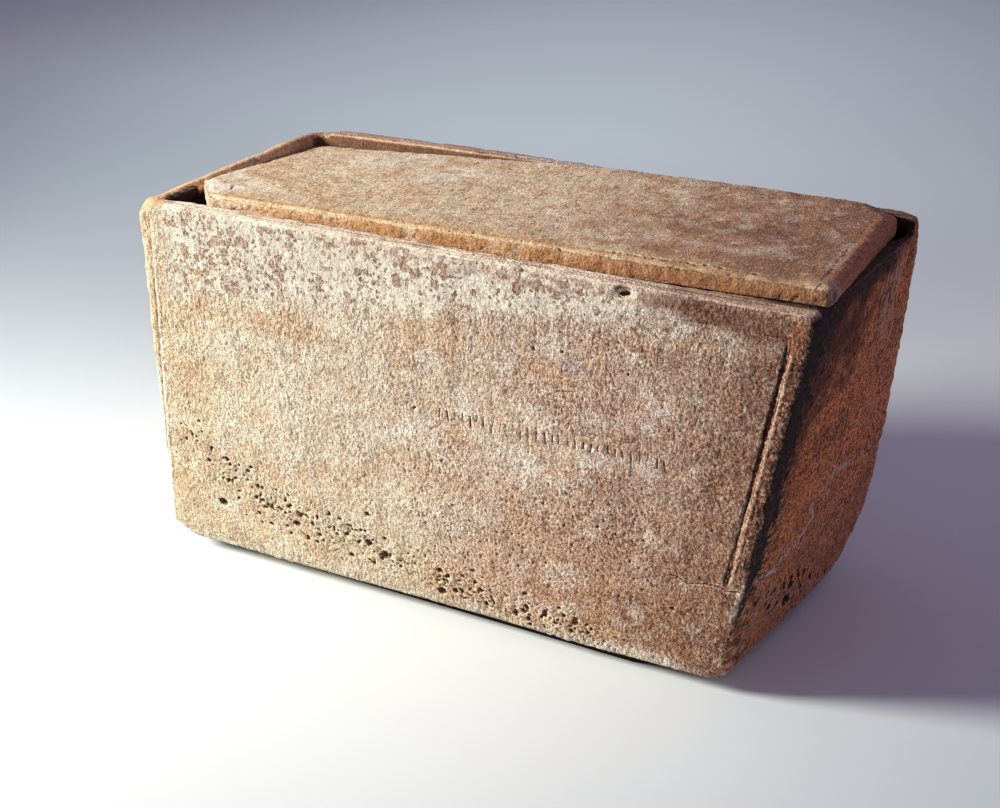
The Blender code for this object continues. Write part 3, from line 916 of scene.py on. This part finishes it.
# %% Lime crust
SPOT_CELL = 0.0072
edge = 0.231 + (x + 0.193) * 0.127 + drift * 0.016 + patchy * 0.034 + flecky * 0.034
band = (z - edge).rise(-0.004, 0.005) * x.fall(0.155, 0.235) * x.rise(-0.25, -0.222) * near_front
cells = where.node("ShaderNodeTexVoronoi", None, {"Vector": where, "Scale": 1.0 / SPOT_CELL})
luck = Wire(cells.tree, cells.socket.node.outputs["Color"])
crumbs = cloud(where, 0.0036, roughness=0.6)
reach = 0.07 + luck * 0.62 + patchy * 0.55 + flecky * 0.7 - x.rise(-0.18, -0.04) * 0.05
lost = (reach - cells).most((crumbs + patchy * 0.35 - 0.565 - x.rise(-0.19, -0.08) * 0.05) * 3.0)
crust = band * lost.fall(-0.03, 0.03)
stained = mix(ground, FLAKED, band * 0.75)
skin = mix(stained, mix(LIME_CRUST, (0.675, 0.605, 0.47), x.rise(-0.08, 0.04)), crust * 0.9)
pale_right = z.within(0.262, 0.286, 0.006) * x.within(0.15, 0.262, 0.02) * fleck.rise(0.42, 0.58)
skin = coats(skin, [
    ((0.2, 0.11, 0.075), band * lost.within(0.02, 0.1, 0.02) * 0.45),
    (LIME_CRUST, pale_right * near_front * 0.65),
])
print("crust laid")

# %% [markdown]
# Splashes of white lime, grey and rusty patches and the brown edge under the rim come next. A splash is an
# oval whose outline is broken up by the fleck.

# %% Splashes, rust and dust
SPLASHES = (
    (11, 221, 7, 5), (-47, 234, 7, 6), (-164, 198, 6, 6), (-127, 186, 6, 5), (191, 197, 9, 6),
    (204, 212, 12, 12), (-20, 150, 20, 14), (96, 148, 14, 12), (150, 165, 22, 14), (-110, 250, 10, 8),
    (174, 250, 18, 8), (40, 176, 16, 10), (118, 134, 16, 12), (-200, 205, 9, 7), (229, 42, 10, 7),
    (119, 293, 6, 5),
)
RUST = ((10, 236, 40, 15), (-120, 218, 60, 14), (232, 268, 26, 9), (120, 226, 34, 12), (-205, 244, 14, 12))
GREY_PATCH = (130, 233, 16, 9)
RIM_CHIP = ((168.5, 294.8, 2.6, 1.9), (172, 296.6, 2.8, 2.0))
CHIP_LIME = (178, 299, 3.4, 3.0)


def round_places(ovals):
    """1 in the middle of each oval on the front, in millimetres, and 0 outside all of them."""
    most = None
    for along, up, half_along, half_up in in_metres(ovals):
        off_x, off_z = (x - along) / half_along, (z - up) / half_up
        inside_it = 1.0 - (off_x * off_x + off_z * off_z)
        most = inside_it if most is None else most.most(inside_it)
    return most


splash = (round_places(SPLASHES) + flecky * 5.0).rise(0.1, 1.3) * near_front
rust = (round_places(RUST) + patchy * 3.0).rise(-0.1, 1.0) * near_front
dusty = cloud(where, 0.06) + across.fall(0.2, 1.0) * 0.25
dust = fleck.rise(0.56, 0.7) * dusty.rise(0.45, 0.66)
under_rim = (z + patchy * 0.03).rise(0.2865, 0.2925) * front
# painted shade: the notch of the rim chip is painted near-black
chip_shade = round_places(RIM_CHIP).rise(0.0, 0.6)
past_line = x - left_line(z)
broken = fleck.rise(0.34, 0.48) * front
# painted shadow in the groove left of the scored line, and a painted highlight on the ridge along it
left_groove_shadow = past_line.within(-0.0036, -0.0018, 0.0007) * broken * z.within(0.02, 0.29, 0.01)
left_ridge_highlight = past_line.within(-0.001, 0.0014, 0.0007) * broken * z.within(0.05, 0.28, 0.01)
foot_lime = ((z + patchy * 0.03 + flecky * 0.026).fall(0.004, 0.013)
             * (x + drift * 0.1).rise(0.06, 0.17) * x.fall(0.25, 0.258))
skin = coats(skin, [
    ((0.48, 0.285, 0.15), rust * 0.6 * (1.0 - crust)),
    (WHITE_LIME, splash * 0.55),
    ((0.37, 0.31, 0.29), round_places([GREY_PATCH]).rise(0.0, 0.8) * 0.6),
    (LIME_CRUST, dust * 0.5),
    ((0.34, 0.19, 0.12), under_rim * x.rise(-0.13, 0.0) * fleck.rise(0.4, 0.56) * 0.7),
    ((0.15, 0.062, 0.034),
     (z + x.rise(0.2, 0.27) * 0.009 + patchy * 0.018).rise(0.285, 0.2935) * x.rise(0.15, 0.235) * 0.85
     * near_front),
    ((0.06, 0.024, 0.015), chip_shade * near_front * 0.9),
    (WHITE_LIME, round_places([CHIP_LIME]).rise(0.0, 0.7) * near_front * 0.7),
    # painted shadow and painted highlight of the scored line at the left
    ((0.33, 0.185, 0.1), left_groove_shadow * 0.85),
    ((0.82, 0.75, 0.61), left_ridge_highlight * 0.7),
    (LIME_CRUST, foot_lime * 0.8),
    ((0.5, 0.42, 0.31), z.fall(0.006, 0.012) * x.fall(0.12, 0.16) * 0.6),
])
print(len(SPLASHES), "splashes,", len(RUST), "rust patches")

# %% [markdown]
# The right arris is the dirtiest place: a rough brown strip outside the scored line, and soot that runs
# round on to the end. The groove beside it is darkened partly as dirt and partly as painted shade, its ridge
# gets a painted highlight, the front darkens towards the arris as painted shade, and the strip's peaks get a
# painted highlight.

# %% Soot at the right arris
inset = right_arris(z) - x
ragged = patchy * 0.008 + flecky * 0.006
strip = (inset + ragged * 0.5).fall(0.015, 0.0185) * front
strip_colour = mix((0.24, 0.115, 0.07), (0.34, 0.1, 0.04), z.rise(0.07, 0.13))
# dark line in the groove: dirt and painted shade; pale line on the ridge: painted highlight
groove_dirt_and_shade = inset.within(0.0152, 0.0182, 0.001) * z.rise(0.08, 0.15) * z.fall(0.246, 0.28) * front
ridge = inset.within(0.0104, 0.0128, 0.0008) * z.rise(0.07, 0.1) * z.fall(0.262, 0.276) * front
shade_side = (inset + drift * 0.05 + ragged).fall(0.004, 0.085)
low_arris = z.within(0.03, 0.058, 0.006) * fleck.rise(0.4, 0.55)
soot_front = (inset + ragged * 1.6).fall(0.0035, 0.0085) * front * z.rise(0.085, 0.105).most(low_arris)
arris_lime = (inset + ragged).fall(0.004, 0.008) * front * (z + flecky * 0.02).within(0.058, 0.088, 0.005)
skin = coats(skin, [
    (strip_colour, strip * 0.88),
    ((0.07, 0.032, 0.018), groove_dirt_and_shade * 0.72),
    ((0.66, 0.53, 0.37), ridge * fleck.rise(0.35, 0.5) * 0.75),
    # painted shade: the front darkens towards the right arris
    ((0.212, 0.098, 0.06), shade_side * front * (0.32 + blotch.rise(0.42, 0.56) * 0.45)),
    (SOOT_AND_SHADE, soot_front * 0.92),
    # painted highlight: the strip's peaks are lightened
    ((0.42, 0.25, 0.13), strip * (fine.rise(0.04, 0.18) + scale.rise(0.52, 0.62)) * 0.3),
    (LIME_CRUST, arris_lime * fleck.rise(0.36, 0.5) * 0.75),
])
print("arris dirt laid")

# %% [markdown]
# ## The leaning end
# This side is stained deep red-brown, with upright pale streaks where water ran, a pale vein and a dusty
# foot.

# %% End colours
run = cloud(where, 0.0036, stretch=(1.0, 1.6, 8.0), detail=3.0, roughness=0.6)
side_blotch = cloud(where, 0.02, stretch=(1.0, 1.8, 1.0), detail=4.0, roughness=0.6)
side_patchy = side_blotch - 0.5
side_fleck = cloud(where, 0.0048, stretch=(1.0, 2.2, 1.0), detail=3.0, roughness=0.65)
side_grit = cloud(where, 0.0016, stretch=(1.0, 2.4, 1.0), detail=3.0, roughness=0.7)
end = mix(TERRACOTTA, BURNT, (side_blotch * 0.5 + side_fleck * 0.5).rise(0.44, 0.6) * 0.8)
from_arris = y + 0.1285 + z * 0.03
soot_reach = from_arris + side_patchy * 0.07 + (side_fleck - 0.5) * 0.05 - z * 0.085
soot_end = (soot_reach.fall(0.006, 0.014) * z.rise(0.045, 0.09)
            + soot_reach.fall(0.012, 0.045) * side_fleck.fall(0.46, 0.56) * 0.8)
# under the lid's edge the end is darkened, partly as soot and partly as painted shade of the lid
under_lid = (z + side_patchy * 0.05).rise(0.272, 0.288) * y.fall(0.02, 0.08)
smudge = ((y + 0.084).size() / 0.05 + (z - 0.158).size() / 0.014).fall(0.4, 1.0) * blotch.rise(0.4, 0.62)
end = coats(end, [
    ((0.075, 0.026, 0.016), side_fleck.fall(0.36, 0.46) * 0.55),
    ((0.045, 0.018, 0.011), side_grit.fall(0.41, 0.49) * 0.8),
    ((0.82, 0.4, 0.22), side_grit.rise(0.53, 0.6) * 0.7),
    ((0.36, 0.165, 0.09), (z + drift * 0.16 + patchy * 0.08).fall(0.045, 0.115) * 0.6),
    ((0.1, 0.03, 0.016), (z - y * 0.5 + side_patchy * 0.2).rise(0.19, 0.29) * 0.9),
    ((0.74, 0.34, 0.19), run.rise(0.54, 0.61) * (y + drift * 0.1).rise(-0.06, 0.07) * 0.6),
    ((0.6, 0.36, 0.24), side_fleck.rise(0.56, 0.62) * (y * 0.5 - z).rise(-0.24, -0.08) * 0.6),
    ((0.66, 0.36, 0.24),
     y.within(0.04, 0.078, 0.008) * z.within(0.225, 0.288, 0.016) * run.rise(0.4, 0.6) * 0.75),
    ((0.64, 0.5, 0.4), kept(wire, "vein") * fleck.rise(0.3, 0.52) * 0.8),
    (SOOT_AND_SHADE, soot_end * 0.92),
    (SOOT_AND_SHADE, under_lid * 0.8),
    (BURNT, smudge * 0.6),
])
print("end colours laid")

# %% [markdown]
# ## Rim, inside, the last dirt and painted shade
# The rim was rubbed smooth and shows fresher stone with thin brown lines. Where the rim and the inside lie in
# the gaps beside and under the lid, they get painted shade. Last of all, every hollow is darkened and every
# peak lightened, partly as dirt and wear and partly as painted shade and highlight.

# %% Rim, inside, hollows and peaks
rub = cloud(where, 0.0015, stretch=(60.0, 1.0, 1.0))
rim_colour = mix((0.96, 0.8, 0.58), (0.42, 0.2, 0.11), rub.rise(0.54, 0.62) * 0.68)
back_rim = mix((0.36, 0.165, 0.09), (0.46, 0.355, 0.3), (x + drift * 0.1).rise(-0.1, 0.02) * 0.8)
# painted shade: the dark strips at the left rim's back end, the front rim's right end and along the right
# wall's top lie in gaps beside and under the lid
rim_colour = coats(rim_colour, [
    (back_rim, y.rise(0.02, 0.09) * 0.85),
    ((0.74, 0.4, 0.16), x.fall(-0.245, -0.225) * 0.88),
    ((0.3, 0.13, 0.075), x.fall(-0.245, -0.215) * y.rise(0.055, 0.095) * 0.7),
    ((0.34, 0.175, 0.1), x.rise(0.06, 0.27) * y.fall(-0.05, 0.0) * 0.7),
    (SOOT_AND_SHADE, x.rise(0.18, 0.24) * y.within(-0.1215, -0.05, 0.001) * 0.9),
    ((0.17, 0.068, 0.042), x.rise(0.24, 0.29) * y.rise(0.0, 0.05) * 0.85),
    (SOOT_AND_SHADE, (x + flecky * 0.02).rise(0.276, 0.286) * y.within(-0.11, 0.085, 0.012) * 0.9),
    (UMBER, blotch.rise(0.52, 0.64) * 0.4),
    ((0.22, 0.1, 0.06), x.rise(0.27, 0.285) * y.rise(-0.12, -0.1) * 0.7),
])
inner = mix((0.58, 0.38, 0.2), (0.33, 0.15, 0.07), (blotch * 0.5 + fleck * 0.5).rise(0.44, 0.58) * 0.7)
# painted light and shade: the inner face above the lid is lightened to offset its shade, while the inside
# below the lid, the line at the back wall's foot over the lid and the deep inside are painted near-black
# shade
inner = coats(inner, [
    ((0.8, 0.46, 0.22), z.rise(0.294, 0.2975) * y.fall(0.04, 0.09) * 0.85),
    ((0.014, 0.009, 0.007), y.fall(-0.02, 0.07) * z.fall(0.2915, 0.2965) * 0.97),
    ((0.1, 0.036, 0.02), y.rise(0.085, 0.092) * (z - x * 0.012).fall(0.3045, 0.3065) * 0.85),
    ((0.02, 0.01, 0.007), z.fall(0.24, 0.292).most(x.rise(0.24, 0.28)) * 0.92),
])
body = mix(skin, end, right)
# painted shade: the gap at the lid's front-left corner is painted near-black
lid_gap_shade = (x.within(-0.252, -0.19, 0.0008) * (y + flecky * 0.01).within(-0.119, -0.077, 0.0016)
         * (z + flecky * 0.006).fall(0.299, 0.301))

calm = crust * front
grained = (1.0 - inside) * (1.0 - calm * 0.65) * (0.75 + across.rise(0.3, 0.9) * 0.35)
body = coats(body, [
    (rim_colour, rim),
    (inner, inside),
    ((0.006, 0.004, 0.004), lid_gap_shade * 0.98),
])
# the hollows of the grain and relief are darkened, partly as dirt and partly as painted shade
body = coats(body, [
    (HOLLOW_DIRT_AND_SHADE_TINT, scale.fall(0.38, 0.48) * grained * (0.42 + coarse * 0.28) * (1.0 - right * 0.6)),
    (HOLLOW_DIRT_AND_SHADE_TINT, fine.fall(-0.18, -0.02) * 0.8 * grained),
    (HOLLOW_DIRT_AND_SHADE_TINT, wide.fall(-0.8, -0.15) * 0.35 * (1.0 - inside)),
], "MULTIPLY")
speckled = 0.3 + seam * 0.55 + across.fall(0.1, 0.5) * 0.25
specks = cloud(where, 0.0027, detail=1.0).rise(0.665, 0.7) * front * speckled
porous = 0.35 + across.rise(0.3, 0.8) * 0.35 - calm * 0.25
pores = cloud(where, 0.0017, detail=1.0).rise(0.6, 0.67) * front * porous
body = mix(body, HOLE_DIRT_AND_SHADE, specks * 0.85)
body = mix(body, HOLLOW_DIRT_AND_SHADE_TINT, pores, "MULTIPLY")
# peaks are lightened, partly as wear and partly as painted highlight
rubbed = (fine.rise(0.03, 0.24) * 0.8 + scale.rise(0.53, 0.64) * 0.45) * (1.0 - right * 0.8) * (1.0 - inside)
body = mix(body, (0.2, 0.17, 0.13), rubbed * (1.0 - soot_front * 0.8), "SCREEN")
# holes, cracks and strokes are darkened, partly as dirt and partly as painted shade
body = coats(body, [
    (HOLE_DIRT_AND_SHADE, hole.rise(0.35, 1.3) * (1.0 - right) * 0.88),
    (SOOT_AND_SHADE, hole.rise(0.3, 1.0) * right * 0.9),
])
grains = grit.rise(0.38, 0.6) * (0.62 + across.rise(0.3, 0.9) * 0.2) * (1.0 - calm * 0.45)
tone = 0.66 + calm * 0.15 + grains + streak.rise(0.38, 0.62) * 0.1
print("chest colours laid")

# %% [markdown]
# Relief finer than the mesh is left to a bump. Soft limestone hardly shines, so the roughness stays high.

# %% Chest finish
scaly = scale * (0.5 + front * (0.35 + coarse * 0.4)) * (1.0 - calm * 0.5)
grain = grit * (0.6 + across.rise(0.3, 0.9) * 0.25 - calm * 0.2) + scaly + fleck * 0.5 + calm * 0.22
finish_stone(shader, body, tone, grain, 0.0014, 0.93 - rim * 0.1 - right * 0.06)
print("chest finished")

# %% [markdown]
# ## The lid's stone
# The slab is buff, and browner towards the right, with thin streaks along it. The chamfer is a golden ochre
# with a rusty line at its upper edge.

# %% Lid colours
LID_BUFF = (0.7, 0.53, 0.34)
LID_BROWN = (0.285, 0.138, 0.076)
LID_HOLLOW_DIRT_AND_SHADE = (0.23, 0.112, 0.058)
GOLD = (0.47, 0.235, 0.09)
RUSTY = (0.45, 0.21, 0.075)

wire, shader = new_material("lid_stone", lid)
where, x, y, z = position(wire)
top, under, fine, wide, hole = (kept(wire, name) for name in ("face_top", "face_under", "relief_fine",
                                                               "relief_wide", "hole"))
drift = cloud(where, 0.08, detail=3.0) - 0.5
blotch = cloud(where, 0.024, detail=4.0, roughness=0.6)
patchy = blotch - 0.5
fleck = cloud(where, 0.004, stretch=(1.0, 1.7, 1.0), detail=3.0, roughness=0.65)
flecky = fleck - 0.5
grit = cloud(where, 0.0013, stretch=(1.0, 1.7, 1.0), roughness=0.65)
scale = cloud(where, 0.0028, stretch=(1.0, 1.7, 1.0), detail=3.0, roughness=0.65)
streak = cloud(where, 0.004, stretch=(2.5, 1.0, 1.0), detail=3.0)

across = (x + 0.24) / 0.55 + drift * 0.5
colour = across.node("ShaderNodeValToRGB", {"stops": (
    (0.0, (0.7, 0.54, 0.33)), (0.52, LID_BUFF), (0.78, (0.45, 0.26, 0.15)), (0.94, LID_BROWN))},
    {0: across})
cream = (blotch * 0.5 + drift + 0.25 + x.rise(-0.06, 0.16) * 0.08).fall(0.36, 0.48)
near_edge = (y + drift * 0.06 + patchy * 0.04).fall(-0.108, -0.085)
pale_corner = (x + drift * 0.08).fall(-0.205, -0.18) * (y + patchy * 0.04).fall(-0.085, -0.065)
smudge = (((x + 0.178) / 0.026).size() + ((y + 0.045) / 0.01).size() + flecky * 2.0).fall(0.3, 1.1)
ring_x, ring_y = (x + 0.045) / 0.022, (y + 0.015) / 0.02
ring = (ring_x * ring_x + ring_y * ring_y + flecky * 0.9).within(0.7, 1.1, 0.25)
dark_patch = ((x - 0.225).size() / 0.06 + (y + 0.02).size() / 0.018 + patchy * 2.0).fall(0.5, 1.1)
colour = coats(colour, [
    ((0.38, 0.195, 0.1), (streak * 0.3 + scale * 0.7).rise(0.51, 0.59) * 0.55),
    ((0.8, 0.7, 0.52), cream * 0.6),
    ((0.52, 0.27, 0.115), blotch.rise(0.5, 0.62) * 0.6),
    ((0.7, 0.61, 0.5), fleck.rise(0.55, 0.66) * 0.45),
    ((0.24, 0.12, 0.065), fleck.fall(0.36, 0.43) * 0.65),
    ((0.62, 0.4, 0.18), near_edge * 0.55),
    ((0.84, 0.74, 0.58), pale_corner * 0.7),
    ((0.5, 0.25, 0.12), smudge * 0.55),
    ((0.38, 0.23, 0.14), ring * 0.5),
    ((0.2, 0.095, 0.052), dark_patch * 0.6),
    ((0.18, 0.085, 0.046), blotch.rise(0.5, 0.62) * x.rise(0.04, 0.18) * 0.5),
    ((0.66, 0.54, 0.4), blotch.fall(0.38, 0.48) * x.rise(0.04, 0.18) * 0.4),
])
print("lid colours laid")

# %% Lid edge, corner and scratches
flank = 1.0 - top.most(under)
gold = mix(GOLD, (0.34, 0.17, 0.075), (fleck * 0.5 + scale * 0.5).rise(0.48, 0.56) * 0.65)
pale_chamfer = blotch.fall(0.34, 0.46).most((x + drift * 0.2).fall(-0.19, -0.05))
pale_chamfer *= 1.0 - x.rise(0.05, 0.22) * 0.7
gold = coats(gold, [
    ((0.62, 0.5, 0.34), pale_chamfer * 0.6),
    (RUSTY, (blotch * 0.5 + fleck * 0.5).rise(0.5, 0.62) * 0.5),
    ((0.27, 0.112, 0.05), x.rise(0.06, 0.22) * 0.72),
])
upper_line = (y + flecky * 0.006).within(-0.11, -0.1066, 0.0012) * x.fall(0.225, 0.26)
flank_line = 0.2905 - (y + 0.0032) * 0.095
beyond = x - flank_line
# the far flank's brown is partly painted shade, and its pale flecks partly painted highlight
far_flank = beyond.rise(0.001, 0.006) * (y + flecky * 0.01).rise(-0.11, -0.102) * (1.0 - under)
dots = (beyond + flecky * 0.004).within(-0.0016, 0.0012, 0.0008) * scale.fall(0.44, 0.54) * y.fall(0.0, 0.06)
corner = (x + patchy * 0.02).rise(0.302, 0.309) * y.within(-0.113, -0.094, 0.004)
notch = (beyond - 0.0125).size().fall(0.0008, 0.0022) * y.fall(-0.108, -0.103)
colour = coats(colour, [
    (RUSTY, upper_line * 0.75),
    (gold, flank),
    ((0.42, 0.16, 0.07), far_flank * 0.92),
    ((0.52, 0.3, 0.18), far_flank * fleck.rise(0.5, 0.62) * 0.45),
    ((0.085, 0.036, 0.02), dots * 0.9),
    ((0.5, 0.4, 0.35), corner * 0.4),
    ((0.06, 0.026, 0.016), notch * 0.85),
    ((0.4, 0.28, 0.19), under),
    ((0.8, 0.75, 0.68), kept(wire, "scratch") * 0.75),
    # hollows are darkened, partly as dirt and partly as painted shade
    (LID_HOLLOW_DIRT_AND_SHADE, fine.fall(-0.22, -0.025) * 0.6),
    (LID_HOLLOW_DIRT_AND_SHADE, wide.fall(-0.6, -0.12) * 0.25),
])
# peaks are lightened, partly as wear and partly as painted highlight; holes are darkened, partly as dirt and
# partly as painted shade
colour = mix(colour, (0.18, 0.15, 0.11), fine.rise(0.03, 0.24) * (1.0 - flank * 0.75) * 0.6, "SCREEN")
colour = mix(colour, (0.16, 0.075, 0.035), hole.rise(0.35, 1.1) * 0.75)
tone = 0.7 + grit.rise(0.38, 0.6) * 0.6 + streak.rise(0.38, 0.62) * 0.08
grain = grit * 0.6 + scale * (0.3 + flank * 0.75) + fleck * (0.3 + flank * 0.3)
finish_stone(shader, colour, tone, grain, 0.0013, 0.9 - top * 0.04)
print("lid finished")

# %% [markdown]
# ## Riding on the body
# Each skin rides on the object's one body and stands for its plain CAD node.

# %% Ride and replace
for piece, node, slot in ((chest, "chest", "chest_limestone"), (lid, "lid", "lid_limestone")):
    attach(piece, "root")
    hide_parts(node)
